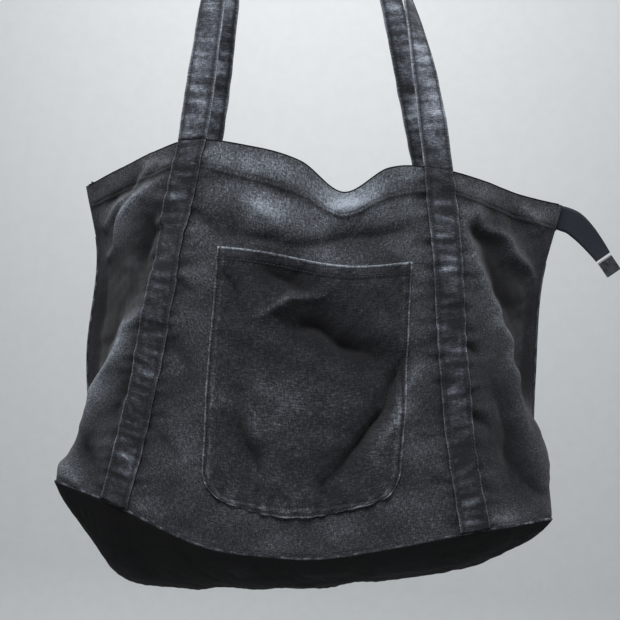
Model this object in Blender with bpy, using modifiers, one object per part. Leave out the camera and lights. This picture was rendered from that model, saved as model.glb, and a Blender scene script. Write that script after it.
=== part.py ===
"""A denim zip-top tote bag, hanging by its two handles.

Metres, +Z up, +X to the right as the pocket side is seen, -Y towards the pocket side.
The origin is where the undersides of both handle loops bear on a hook. The loops are hung a little to the
left of their middles, so the body stands to the right of the origin. The bag's two walls are sheets
over (s, t): s runs from -1 at the left side seam to 1 at the right one, t from 0 at the mouth to 1 at
the base seam. Everything sewn to a wall is placed on its sheet at a stated offset along the normal.
"""

import math

import bmesh
import bpy
from mathutils import Matrix, Vector

MM = 0.001
FRONT, BACK = -1, 1

# Cloth
DENIM = 1.2 * MM
STRAP_THICKNESS = 2.4 * MM
STRAP_WIDTH = 28 * MM
LAYER_GAP = 0.5 * MM
SEAM_GAP = 0.5 * MM
TOUCH = 0.3 * MM
TAIL_SLOT = 1.7 * MM

# The wall sheets, as a coarse cage: columns at these s, rows at these t.
HANDLE_RISE = 270 * MM
WALL_HEIGHT = 385 * MM
COLUMNS = (0.0, 0.22, 0.45, 0.62, 0.80, 1.0)
STRAP_COLUMN = 0.45
BAND_FOOT_T = 0.994
FACING_REACH, FACING_TOP_T = 0.90, 0.006
CORNER_COLUMN = 0.80
ROWS = {
    0.00: {
        "across": (0, 62, 120, 160, 195, 239),
        "depth": (38, 38, 36, 28, 15, 0),
        "drop": (38, 23, 2, 14, 30, 37),
    },
    0.22: {
        "across": (0, 66, 130, 166, 197, 228),
        "depth": (48, 47, 44, 38, 24, 0),
        "drop": (113, 101, 79, 88, 101, 115),
    },
    0.50: {
        "across": (0, 74, 147, 180, 206, 229),
        "depth": (58, 57, 52, 45, 31, 0),
        "drop": (213, 203, 176, 178, 190, 212),
    },
    0.78: {
        "across": (0, 83, 162, 198, 226, 223),
        "depth": (62, 61, 59, 55, 44, 0),
        "drop": (311, 301, 273, 268, 272, 301),
    },
    1.00: {
        "across": (0, 88, 172, 209, 238, 218),
        "depth": (62, 63, 64, 64, 57, 0),
        "drop": (387, 380, 351, 338, 332, 370),
    },
}
WALL_CELLS = (40, 20)

# Base panel
BASE_DROP = 1.2 * MM
BASE_SAG = 46 * MM
BASE_LEVELLING = 0.70
BASE_CELLS = (28, 10)

# Patch pocket on the front wall
POCKET_TOP_HALF = 92 * MM
POCKET_BOTTOM_HALF = 95 * MM
POCKET_CORNER = 36 * MM
POCKET_MOUTH_T, POCKET_MOUTH_DIP = 0.228, 0.035
POCKET_FOOT_T, POCKET_FOOT_SAG = 0.845, 0.030
POCKET_GAPE = 12 * MM
POCKET_WALL_HEIGHT = 350 * MM
POCKET_CELLS = (16, 18)

# Zip, level across the mouth
ZIP_Z = -HANDLE_RISE - 66 * MM
FLAP_HALF_LENGTH = 160 * MM
FLAP_HINGE_Y = 29 * MM
FLAP_INNER_Y = 8 * MM
TAPE_OUTER_Y, TAPE_INNER_Y = 12.5 * MM, 1.2 * MM
TAPE = 0.6 * MM
COIL_WIDTH, COIL_HEIGHT, CHAIN_GAP = 2.5 * MM, 1.9 * MM, 0.55 * MM
PARK_LENGTH = 20 * MM
PARK_GAP = 1.5 * MM
END_TWIST_START, END_TWIST_STOP = 186 * MM, 216 * MM
WING_TIP_X = 238 * MM
WING_TIP_Z = -HANDLE_RISE - 49 * MM

# Slider and its pull
SLIDER_LENGTH, SLIDER_WIDTH = 11 * MM, 9 * MM
PLATE = 1.0 * MM
SLIDER_CLEARANCE = 0.4 * MM
SLIDER_PARK_X = FLAP_HALF_LENGTH + PARK_GAP + 11 * MM
BRIDGE_OPENING, BRIDGE_BAR = 2.6 * MM, 1.2 * MM
BRIDGE_WIDTH = 2.0 * MM
PULL_LENGTH, PULL_WIDTH, PULL_THICKNESS = 22 * MM, 7 * MM, 1.4 * MM
EYE_REACH = 6.2 * MM

# Loose tail of the zip, outside the right-hand corner
TAIL_HINGE_X = WING_TIP_X + 5 * MM
TAIL_POINTS = ((1, 0, 0), (11, -2, -4), (23, -3, -14), (35, -4, -27), (43, -5, -37))
TAIL_WIDTHS = (25, 24, 22, 19, 16)
CAP_WIDTH, CAP_LENGTH, CAP_THICKNESS = 15 * MM, 17 * MM, 3.2 * MM
SCREW_RADIUS = 1.5 * MM

# Handles
HANDLE_GAP = 1.5 * MM
HANDLE_TOP_Y = 15.5 * MM
HOOK_OFFSET = -35 * MM
HANDLE_GUIDE_X = {(FRONT, -1): -110 * MM, (FRONT, 1): 82 * MM, (BACK, -1): -104 * MM, (BACK, 1): 66 * MM}
HANDLE_GUIDE_Z = -120 * MM
HANDLE_SHOULDER = 74 * MM
HANDLE_LEAN = 0.86
SEAT_HALF_LENGTH = 13 * MM
SEAT_START = 42 / 45
FOOT_END = 0.08
HANDLE_TURN_END = {(FRONT, -1): 0.92, (FRONT, 1): 0.62, (BACK, -1): 0.92, (BACK, 1): 0.92}
HANDLE_STEPS = 45

COLOURS = {
    "denim": ((0.060, 0.062, 0.070), 0.92, 0.0),
    "denim_base": ((0.022, 0.022, 0.026), 0.90, 0.0),
    "strap": ((0.085, 0.090, 0.104), 0.92, 0.0),
    "zip_tape": ((0.013, 0.018, 0.028), 0.75, 0.0),
    "zip_coil": ((0.010, 0.011, 0.014), 0.45, 0.0),
    "gunmetal": ((0.090, 0.095, 0.105), 0.38, 0.9),
}


def clear_scene():
    for obj in list(bpy.data.objects):
        bpy.data.objects.remove(obj)


def material(name):
    made = bpy.data.materials.get(name)
    if made:
        return made
    colour, roughness, metallic = COLOURS[name]
    made = bpy.data.materials.new(name)
    made.use_nodes = True
    shader = made.node_tree.nodes["Principled BSDF"]
    shader.inputs["Base Color"].default_value = (*colour, 1)
    shader.inputs["Roughness"].default_value = roughness
    shader.inputs["Metallic"].default_value = metallic
    return made


# ---------------------------------------------------------------- smooth curves and the wall sheets


def through(places, values, at):
    """A smooth curve through (place, value) pairs, read at one place: cubic, with the slope at each pair
    taken from its neighbours."""
    k = 0
    while k < len(places) - 2 and at > places[k + 1]:
        k += 1
    width = places[k + 1] - places[k]
    f = (at - places[k]) / width

    def slope(i):
        lower, upper = max(i - 1, 0), min(i + 1, len(places) - 1)
        return (values[upper] - values[lower]) / (places[upper] - places[lower])

    rise = values[k + 1] - values[k]
    a = slope(k) * width - rise
    b = rise - slope(k + 1) * width
    return values[k] + rise * f + f * (1 - f) * (a * (1 - f) + b * f)


def wall_value(kind, s, t):
    """Reads one of a wall's three shapes, in millimetres, at (s, t)."""
    odd = -1 if kind == "across" else 1
    places = (-COLUMNS[1], *COLUMNS)
    read = [through(places, (odd * row[kind][1], *row[kind]), abs(s)) for row in ROWS.values()]
    value = through(tuple(ROWS), read, t)
    return value * (odd if s < 0 else 1)


def side_gap(t):
    """How far a wall's outer face stands off the middle at its side seam. More at the mouth, where the zip leaves."""
    f = min(max((t - 0.12) / 0.08, 0), 1)
    return DENIM + SEAM_GAP + TAIL_SLOT * (1 - f * f * (3 - 2 * f))


def wall_point(side, s, t):
    depth = max(wall_value("depth", s, t) * MM, side_gap(t))
    return Vector(
        (wall_value("across", s, t) * MM, side * depth, -HANDLE_RISE - wall_value("drop", s, t) * MM)
    )


def wall_normal(side, s, t, step=0.01):
    s0, s1 = max(s - step, -1), min(s + step, 1)
    t0, t1 = max(t - step, 0), min(t + step, 1)
    along = wall_point(side, s1, t) - wall_point(side, s0, t)
    down = wall_point(side, s, t1) - wall_point(side, s, t0)
    return (side * along.cross(down)).normalized()


def on_wall(side, s, t, offset):
    """The point at this offset out from the wall's outer face."""
    return wall_point(side, s, t) + wall_normal(side, s, t) * offset


def solve(rising, target, low, high):
    """Where a rising function reaches a target, by halving."""
    for _ in range(40):
        middle = (low + high) / 2
        if rising(middle) < target:
            low = middle
        else:
            high = middle
    return (low + high) / 2


def s_at_x(x, t):
    """The column where a wall is this far across, at row t. It holds between the centre and the corner column."""
    found = solve(lambda s: wall_value("across", s, t) * MM, abs(x), 0, CORNER_COLUMN)
    return math.copysign(found, x)


def t_at_z(s, z):
    return solve(lambda t: -wall_point(FRONT, s, t).z, -z, 0, 0.5)


# ---------------------------------------------------------------- making objects


def add_object(name, mesh, collection, slot, smooth=True):
    obj = bpy.data.objects.new(name, mesh)
    collection.objects.link(obj)
    mesh.materials.append(material(slot))
    if smooth:
        mesh.shade_smooth()
        mesh.set_sharp_from_angle(angle=math.radians(40))
    return obj


def grid_mesh(name, columns, rows, place):
    """A grid of quads whose vertices are put where place(u, v) says, with u and v from 0 to 1."""
    bm = bmesh.new()
    bmesh.ops.create_grid(bm, x_segments=columns, y_segments=rows, size=0.5)
    for vertex in bm.verts:
        vertex.co = place(vertex.co.x + 0.5, vertex.co.y + 0.5)
    mesh = bpy.data.meshes.new(name)
    bm.to_mesh(mesh)
    bm.free()
    return mesh


def add_sheet(name, collection, slot, columns, rows, place, thickness):
    """A cloth sheet: a grid on its middle surface, made solid to both sides."""
    obj = add_object(name, grid_mesh(name, columns, rows, place), collection, slot)
    solid = obj.modifiers.new("thickness", "SOLIDIFY")
    solid.thickness = thickness
    solid.offset = 0
    solid.use_even_offset = False
    return obj


def add_box(name, collection, slot, low, high):
    bm = bmesh.new()
    bmesh.ops.create_cube(bm, size=1)
    low, high = Vector(low), Vector(high)
    bmesh.ops.scale(bm, vec=high - low, verts=bm.verts)
    mesh = bpy.data.meshes.new(name)
    bm.to_mesh(mesh)
    bm.free()
    obj = add_object(name, mesh, collection, slot, smooth=False)
    obj.location = (low + high) / 2
    return obj


def join(obj, other, operation, helpers):
    """Adds or cuts another object by a Boolean, and keeps that object among the helpers."""
    step = obj.modifiers.new(operation.lower(), "BOOLEAN")
    step.operation = operation
    step.object = other
    for home in list(other.users_collection):
        home.objects.unlink(other)
    helpers.objects.link(other)
    other.hide_render = True
    other.display_type = "WIRE"


def add_pivot(name, place, bag, *objects):
    """An empty on a joint's axis, with its pieces parented to it where they stand."""
    pivot = bpy.data.objects.new(name, None)
    pivot.location = place
    bag.objects.link(pivot)
    bpy.context.view_layer.update()
    for obj in objects:
        obj.parent = pivot
        obj.matrix_parent_inverse = pivot.matrix_world.inverted()
    return pivot


def add_bevel(obj, width, segments=2):
    bevel = obj.modifiers.new("edge", "BEVEL")
    bevel.width = width
    bevel.segments = segments
    bevel.limit_method = "ANGLE"


# ---------------------------------------------------------------- cloth shell of the bag


def add_wall(name, side, bag):
    add_sheet(
        name, bag, "denim", *WALL_CELLS,
        lambda u, v: on_wall(side, 2 * u - 1, v, -DENIM / 2),
        DENIM,
    )


def base_edge(side, p):
    """The long edge of the base: p runs from -1 to 1 between its corners."""
    return wall_point(side, p * CORNER_COLUMN, 1)


def base_end(sign, q):
    """The short edge at one end: q runs from -1 at the front corner to 1 at the back one."""
    side = FRONT if q < 0 else BACK
    column = 1 + (CORNER_COLUMN - 1) * abs(q)
    point = wall_point(side, sign * column, 1)
    if abs(q) < 1e-6:
        point.y = 0
    return point


def base_point(p, q):
    """A patch between the four edges, let down as cloth hangs, less where it already hangs low."""
    f, g = (p + 1) / 2, (q + 1) / 2
    long_way = base_edge(FRONT, p).lerp(base_edge(BACK, p), g)
    short_way = base_end(-1, q).lerp(base_end(1, q), f)
    front_corners = base_edge(FRONT, -1).lerp(base_edge(FRONT, 1), f)
    back_corners = base_edge(BACK, -1).lerp(base_edge(BACK, 1), f)
    corners = front_corners.lerp(back_corners, g)
    point = long_way + short_way - corners
    sag = BASE_SAG + BASE_LEVELLING * (point.z - base_edge(FRONT, 0).z)
    point.z -= sag * (1 - abs(p) ** 5) * (1 - abs(q) ** 1.6) + BASE_DROP
    return point


def add_base(bag):
    add_sheet(
        "base_panel", bag, "denim_base", *BASE_CELLS,
        lambda u, v: base_point(2 * u - 1, 2 * v - 1),
        DENIM,
    )


def add_facing(name, side, bag):
    """The strip inside the mouth. Its lower edge is level, where the zip flap is sewn on."""

    def place(u, v):
        s = (2 * u - 1) * FACING_REACH
        foot = t_at_z(s, ZIP_Z + 2 * MM)
        t = FACING_TOP_T + v * (foot - FACING_TOP_T)
        return on_wall(side, s, t, -DENIM - LAYER_GAP - DENIM / 2)

    add_sheet(name, bag, "denim", 28, 4, place, 0.8 * DENIM)


def add_band(name, side, hand, bag):
    """The lower run of a strap, sewn flat to the wall from the mouth to the base seam."""
    top = 0.5 * HANDLE_GAP / WALL_HEIGHT

    def place(u, v):
        t = top + v * (BAND_FOOT_T - top)
        x = wall_value("across", STRAP_COLUMN, t) * MM + (u - 0.5) * STRAP_WIDTH
        return on_wall(side, s_at_x(x, t) * hand, t, LAYER_GAP + STRAP_THICKNESS / 2)

    add_sheet(name, bag, "strap", 2, 22, place, STRAP_THICKNESS)


def pocket_point(u, v):
    """The pocket's outline follows the wall; its mouth stands off it by the gape."""
    a = 2 * u - 1
    mouth = POCKET_MOUTH_T - POCKET_MOUTH_DIP * (1 - a * a)
    foot = POCKET_FOOT_T + POCKET_FOOT_SAG * (1 - a * a)
    t = mouth + v * (foot - mouth)
    half = POCKET_TOP_HALF + v * (POCKET_BOTTOM_HALF - POCKET_TOP_HALF)
    height = (foot - mouth) * POCKET_WALL_HEIGHT
    into_corner = max(0, POCKET_CORNER - (1 - v) * height)
    half -= POCKET_CORNER - math.sqrt(max(POCKET_CORNER**2 - into_corner**2, 0))
    gape = POCKET_GAPE * (1 - a**4) * (1 - v) ** 0.8
    return on_wall(FRONT, s_at_x(a * half, t), t, LAYER_GAP + DENIM / 2 + gape)


def add_pocket(bag):
    add_sheet("front_pocket", bag, "denim", *POCKET_CELLS, pocket_point, DENIM)


# ---------------------------------------------------------------- handles


def bezier(a, b, c, d, f):
    return a * (1 - f) ** 3 + b * 3 * f * (1 - f) ** 2 + c * 3 * f * f * (1 - f) + d * f**3


def handle_foot(side):
    """The middle of a handle's right-hand end, just above the band that it is sewn on from."""
    return on_wall(side, STRAP_COLUMN, 0, LAYER_GAP + STRAP_THICKNESS / 2) + Vector((0, 0, HANDLE_GAP))


def handle_line(side, hand, climb):
    """The middle line of half a handle, from the mouth (climb = 0) up to the level seat on the hook (1)."""
    foot = handle_foot(side)
    end = Vector((HOOK_OFFSET + hand * SEAT_HALF_LENGTH, side * HANDLE_TOP_Y, STRAP_THICKNESS / 2))
    if climb > SEAT_START:
        share = (climb - SEAT_START) / (1 - SEAT_START)
        return Vector((end.x - hand * SEAT_HALF_LENGTH * share, end.y, end.z))
    guide = Vector((HANDLE_GUIDE_X[side, hand], foot.y * HANDLE_LEAN, HANDLE_GUIDE_Z))
    shoulder = Vector((end.x + hand * (HANDLE_SHOULDER - SEAT_HALF_LENGTH), end.y, end.z))
    return bezier(Vector((hand * foot.x, foot.y, foot.z)), guide, shoulder, end, climb / SEAT_START)


def handle_point(side, f, w):
    """A flat strap from its left end (f = 0) over the hook (0.5) to its right end (1); w from -0.5 to 0.5
    is across it. Its ends are cut level and lie flat on the wall, and it turns a quarter to lie on the hook."""
    hand = -1 if f < 0.5 else 1
    climb = 1 - abs(2 * f - 1)
    step = 0.004
    lower, upper = max(climb - step, 0), min(climb + step, 1)
    tangent = (handle_line(side, hand, upper) - handle_line(side, hand, lower)).normalized()
    outward = Vector((0, 1, 0)).cross(tangent).normalized() * hand
    turned = min(climb / HANDLE_TURN_END[side, hand], 1)
    turn = math.pi / 2 * turned**1.4 * (1.4 - 0.4 * turned)
    face = Vector((0, -math.cos(turn), 0)) + outward * math.sin(turn)
    square = tangent.cross(face).normalized()
    level = Vector((math.copysign(1, square.x), 0, 0))
    across = level.lerp(square, min(climb / FOOT_END, 1)).normalized()
    return handle_line(side, hand, climb) + across * (-hand * w * STRAP_WIDTH)


def add_handle(name, side, bag):
    """An odd number of steps leaves one level face at the crown, where the handle bears on a hook."""
    handle = add_sheet(
        name, bag, "strap", 3, HANDLE_STEPS,
        lambda u, v: handle_point(side, v, u - 0.5),
        STRAP_THICKNESS,
    )
    foot = handle_foot(side)
    fold = foot + Vector((0, side * (STRAP_THICKNESS / 2 + TOUCH), -HANDLE_GAP / 2))
    add_pivot(name + "_swing", (0, fold.y, fold.z), bag, handle)


# ---------------------------------------------------------------- zip


def inner_wall_y(x):
    """How far back the facing's inner face stands at the zip's level."""
    s = abs(s_at_x(x, 0.15))
    t = t_at_z(s, ZIP_Z)
    face = on_wall(FRONT, s, t, -2 * DENIM - LAYER_GAP)
    return abs(face.y)


def add_flap(name, side, bag):
    """The cloth flap between the facing and the zip tape."""

    def place(u, v):
        x = (2 * u - 1) * FLAP_HALF_LENGTH
        outer = inner_wall_y(x) - 1.2 * MM
        y = FLAP_INNER_Y + (1 - v) * (outer - FLAP_INNER_Y)
        return Vector((x, side * y, ZIP_Z + TAPE / 2 + TOUCH + DENIM / 2))

    return add_sheet(name, bag, "denim", 20, 2, place, DENIM)


def add_zip_half(tape_name, coil_name, side, bag):
    near, far = side * TAPE_INNER_Y, side * TAPE_OUTER_Y
    low, high = sorted((near, far))
    end = FLAP_HALF_LENGTH
    tape = add_box(tape_name, bag, "zip_tape", (-end, low, ZIP_Z - TAPE / 2), (end, high, ZIP_Z + TAPE / 2))
    low, high = sorted((side * CHAIN_GAP, side * (CHAIN_GAP + COIL_WIDTH)))
    foot = ZIP_Z + TAPE / 2 + TOUCH
    coil = add_box(coil_name, bag, "zip_coil", (-end, low, foot), (end, high, foot + COIL_HEIGHT))
    return tape, coil


def end_frame(x):
    """Middle and width direction of the zip tape between its straight run and the side seam: it turns on edge."""
    f = min(max((x - END_TWIST_START) / (END_TWIST_STOP - END_TWIST_START), 0), 1)
    f = f * f * (3 - 2 * f)
    turn = math.radians(88) * f
    g = min(max((x - END_TWIST_START) / (WING_TIP_X - END_TWIST_START), 0), 1)
    middle = Vector((x, 0, ZIP_Z + g * g * (3 - 2 * g) * (WING_TIP_Z - ZIP_Z)))
    return middle, Vector((0, math.cos(turn), math.sin(turn)))


def add_zip_ends(hand_name, hand, bag, helpers):
    """The fixed run at each end, where the slider parks, then the tape on edge up to the side seam."""
    start = FLAP_HALF_LENGTH + PARK_GAP

    def place(u, v):
        x = start + (WING_TIP_X - start) * (u if hand > 0 else 1 - u)
        middle, wide = end_frame(x)
        point = middle + wide * ((v - 0.5) * 2 * TAPE_OUTER_Y)
        return Vector((point.x * hand, point.y, point.z))

    tape = add_sheet("zip_end_tape_" + hand_name, bag, "zip_tape", 18, 2, place, TAPE)
    foot = ZIP_Z + TAPE / 2 + TOUCH
    x0, x1 = sorted((hand * start, hand * (start + PARK_LENGTH)))
    half = CHAIN_GAP + COIL_WIDTH
    past = 2 * MM
    slot_low = x0 - (past if hand > 0 else TOUCH)
    slot_high = x1 + (TOUCH if hand > 0 else past)
    slot = add_box("slot_" + hand_name, bag, "zip_tape", (slot_low, -TAPE_INNER_Y, ZIP_Z - 3 * TAPE),
                   (slot_high, TAPE_INNER_Y, ZIP_Z + 3 * TAPE))
    join(tape, slot, "DIFFERENCE", helpers)
    add_box("zip_end_coil_" + hand_name + "_front", bag, "zip_coil",
            (x0, -half, foot), (x1, -CHAIN_GAP, foot + COIL_HEIGHT))
    add_box("zip_end_coil_" + hand_name + "_back", bag, "zip_coil",
            (x0, CHAIN_GAP, foot), (x1, half, foot + COIL_HEIGHT))


def add_stop(bag):
    """The metal bar across both rows at the closed end, which the slider comes up against."""
    x = -SLIDER_PARK_X - SLIDER_LENGTH / 2 - 2.2 * MM
    foot = ZIP_Z + TAPE / 2 + TOUCH + COIL_HEIGHT + TOUCH
    stop = add_box("zip_stop", bag, "gunmetal", (x - 1.2 * MM, -3.4 * MM, foot),
                   (x + 1.2 * MM, 3.4 * MM, foot + 1 * MM))
    add_bevel(stop, 0.3 * MM)


def add_slider(bag, helpers):
    """Two plates joined by a thin post between the two rows, with flanges beside them and a bridge on top."""
    x = -SLIDER_PARK_X
    x0, x1 = x - SLIDER_LENGTH / 2, x + SLIDER_LENGTH / 2
    half = SLIDER_WIDTH / 2
    chain_top = ZIP_Z + TAPE / 2 + TOUCH + COIL_HEIGHT
    top = chain_top + SLIDER_CLEARANCE
    bottom = ZIP_Z - TAPE / 2 - SLIDER_CLEARANCE
    slider = add_box("zip_slider", bag, "gunmetal", (x0, -half, top), (x1, half, top + PLATE))
    under = add_box("slider_under_plate", bag, "gunmetal", (x0, -half, bottom - PLATE), (x1, half, bottom))
    post = add_box("slider_post", bag, "gunmetal", (x - 1.5 * MM, -0.25 * MM, bottom - PLATE / 2),
                   (x + 1.5 * MM, 0.25 * MM, top + PLATE / 2))
    join(slider, under, "UNION", helpers)
    join(slider, post, "UNION", helpers)
    for name, sign in (("front", -1), ("back", 1)):
        inner = CHAIN_GAP + COIL_WIDTH + SLIDER_CLEARANCE
        low, high = sorted((sign * inner, sign * half))
        flange = add_box("slider_flange_" + name, bag, "gunmetal", (x0, low, ZIP_Z + TAPE / 2 + 0.35 * MM),
                         (x1, high, top + PLATE / 2))
        join(slider, flange, "UNION", helpers)
    deck = top + PLATE
    reach = BRIDGE_OPENING / 2 + BRIDGE_BAR + 0.6 * MM
    bridge = add_box("slider_bridge", bag, "gunmetal", (x - reach, -BRIDGE_WIDTH / 2, deck - PLATE / 2),
                     (x + reach, BRIDGE_WIDTH / 2, deck + BRIDGE_OPENING + BRIDGE_BAR))
    join(slider, bridge, "UNION", helpers)
    gap = reach - BRIDGE_BAR
    opening = add_box("slider_bridge_opening", bag, "gunmetal", (x - gap, -half, deck),
                      (x + gap, half, deck + BRIDGE_OPENING))
    join(slider, opening, "DIFFERENCE", helpers)
    add_pivot("slider_travel", (x, 0, ZIP_Z), bag, slider)
    return Vector((x, 0, deck + BRIDGE_OPENING / 2))


def add_pull(axis, bag, helpers):
    """The flat pull. Its eye goes round the bridge, and the bar that closes the eye lies on the hinge axis."""
    half = PULL_WIDTH / 2
    bar = PULL_THICKNESS / 2
    pull = add_box("puller_tab", bag, "gunmetal", axis + Vector((-PULL_LENGTH, -half, -bar)),
                   axis + Vector((bar, half, bar)))
    eye_half = BRIDGE_WIDTH / 2 + 0.6 * MM
    eye = add_box("pull_eye", bag, "gunmetal", axis + Vector((-EYE_REACH, -eye_half, -2 * bar)),
                  axis + Vector((-bar, eye_half, 2 * bar)))
    join(pull, eye, "DIFFERENCE", helpers)
    add_pivot("pull_hinge", axis, bag, pull)


def tail_frame(f):
    """Middle, direction and width of the loose tail, f from 0 at its root to 1 at the cap."""
    places = tuple(i / (len(TAIL_POINTS) - 1) for i in range(len(TAIL_POINTS)))
    root = Vector((TAIL_HINGE_X, 0, WING_TIP_Z))

    def middle(g):
        return root + Vector([through(places, [p[k] for p in TAIL_POINTS], g) for k in range(3)]) * MM

    step = 0.01
    along = (middle(min(f + step, 1)) - middle(max(f - step, 0))).normalized()
    return middle(f), along, through(places, TAIL_WIDTHS, f) * MM


def add_tail(bag, helpers):
    def place_at(offset, width_share, depth_offset):
        def place(u, v):
            middle, along, width = tail_frame(u * 0.97)
            wide = Vector((0, 1, 0)).cross(along).normalized()
            return middle + wide * ((v - 0.5) * width * width_share + offset) + Vector((0, depth_offset, 0))

        return place

    tape = add_sheet("zip_tail_tape", bag, "zip_tape", 14, 2, place_at(0, 1, 0), TAPE)
    coil = 2 * (CHAIN_GAP + COIL_WIDTH)
    share = coil / (25 * MM)
    chain = add_sheet("zip_tail_coil", bag, "zip_coil", 14, 1,
                      place_at(0, share, TAPE / 2 + 0.35 * MM + COIL_HEIGHT / 2), COIL_HEIGHT)

    end, along, _ = tail_frame(1)
    turn = Matrix.Rotation(math.atan2(along.x, -along.z), 4, "Y").inverted()
    cap = add_box("tail_end_cap", bag, "gunmetal", (-CAP_WIDTH / 2, -CAP_THICKNESS / 2, -CAP_LENGTH),
                  (CAP_WIDTH / 2, CAP_THICKNESS / 2, 0))
    place = Matrix.Translation(end + along * 0.5 * MM)
    cap.matrix_world = place @ turn @ Matrix.Translation(cap.location)
    add_bevel(cap, 0.6 * MM)

    bm = bmesh.new()
    bmesh.ops.create_cone(bm, cap_ends=True, segments=24, radius1=SCREW_RADIUS,
                          radius2=0.8 * SCREW_RADIUS, depth=0.8 * MM)
    mesh = bpy.data.meshes.new("tail_cap_screw")
    bm.to_mesh(mesh)
    bm.free()
    screw = add_object("tail_cap_screw", mesh, bag, "gunmetal")
    out = Matrix.Translation((0, -CAP_THICKNESS / 2 - 0.7 * MM, -4.5 * MM)) @ Matrix.Rotation(math.pi / 2, 4, "X")
    screw.matrix_world = place @ turn @ out
    add_pivot("tail_swing", (TAIL_HINGE_X, 0, WING_TIP_Z), bag, tape, chain, cap, screw)


def main():
    clear_scene()
    bag = bpy.data.collections.new("denim_tote_bag")
    helpers = bpy.data.collections.new("cutters")
    for collection in (bag, helpers):
        bpy.context.scene.collection.children.link(collection)

    for side_name, side in (("front", FRONT), ("back", BACK)):
        add_wall(side_name + "_panel", side, bag)
        add_facing(side_name + "_facing", side, bag)
        for hand_name, hand in (("left", -1), ("right", 1)):
            add_band(f"{side_name}_band_{hand_name}", side, hand, bag)
        add_handle(side_name + "_handle", side, bag)
        flap = add_flap(side_name + "_zip_flap", side, bag)
        tape, coil = add_zip_half("zip_tape_" + side_name, "zip_coil_" + side_name, side, bag)
        add_pivot(side_name + "_flap_fold", (0, side * FLAP_HINGE_Y, ZIP_Z), bag, flap, tape, coil)
    add_base(bag)
    add_pocket(bag)
    for hand_name, hand in (("left", -1), ("right", 1)):
        add_zip_ends(hand_name, hand, bag, helpers)
    add_stop(bag)
    add_pull(add_slider(bag, helpers), bag, helpers)
    add_tail(bag, helpers)
    for obj in bpy.data.objects:
        if obj.parent is None:
            obj.location.x -= HOOK_OFFSET


main()
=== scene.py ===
"""The looks of a washed-black denim tote bag that hangs by its two handles.

Metres, in the frame of the CAD model: +Z up, the pocket side towards -Y, the origin where the handles bear
on a hook. The two walls are sheets over (s, t): s runs from -1 at the left side seam to 1 at the right one,
t from 0 at the mouth to 1 at the base seam. The cage below starts from the CAD's, which is symmetric, and is
reshaped towards the photograph, by up to 23 mm at the mouth. Every fold is a term of relief(), and
everything sewn to a wall is placed on the same folded surface.
"""

import math

import bmesh
import bpy
import numpy as np
from mathutils import Matrix, Vector


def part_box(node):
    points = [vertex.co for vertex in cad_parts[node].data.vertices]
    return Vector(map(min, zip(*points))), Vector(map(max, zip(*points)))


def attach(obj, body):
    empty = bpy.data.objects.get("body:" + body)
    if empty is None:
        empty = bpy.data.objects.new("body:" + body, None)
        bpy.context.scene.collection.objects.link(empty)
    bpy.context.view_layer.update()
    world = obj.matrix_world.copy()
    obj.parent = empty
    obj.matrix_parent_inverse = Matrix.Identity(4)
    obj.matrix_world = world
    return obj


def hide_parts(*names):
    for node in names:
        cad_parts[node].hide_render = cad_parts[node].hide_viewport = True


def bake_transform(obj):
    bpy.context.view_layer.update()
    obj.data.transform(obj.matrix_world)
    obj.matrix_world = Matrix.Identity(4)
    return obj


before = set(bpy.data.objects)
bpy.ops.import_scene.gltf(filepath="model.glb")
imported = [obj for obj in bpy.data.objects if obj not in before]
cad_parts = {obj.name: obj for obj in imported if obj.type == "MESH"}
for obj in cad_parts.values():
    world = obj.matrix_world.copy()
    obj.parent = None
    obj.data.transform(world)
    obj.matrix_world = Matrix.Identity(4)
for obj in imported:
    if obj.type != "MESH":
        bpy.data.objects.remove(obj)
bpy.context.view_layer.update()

MM = 0.001
FRONT, BACK = -1, 1
SIDES = (("front", FRONT), ("back", BACK))
HANDS = (("left", -1), ("right", 1))

# The body's middle stands to the right of the hook; the zip flap's box says by how much.
BODY_X = sum(corner.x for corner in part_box("front_zip_flap")) / 2

# Cloth
DENIM = 1.2 * MM
STRAP_THICKNESS = 2.6 * MM
STRAP_HALF = 14 * MM
LAYER_GAP = 0.5 * MM
SEAM_GAP = 0.5 * MM
TAIL_SLOT = 1.7 * MM
HANDLE_RISE = 270 * MM
WALL_HEIGHT = 385 * MM
STRAP_COLUMN = 0.45
CORNER_COLUMN = 0.80
HEM_DEPTH = 26 * MM

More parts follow.
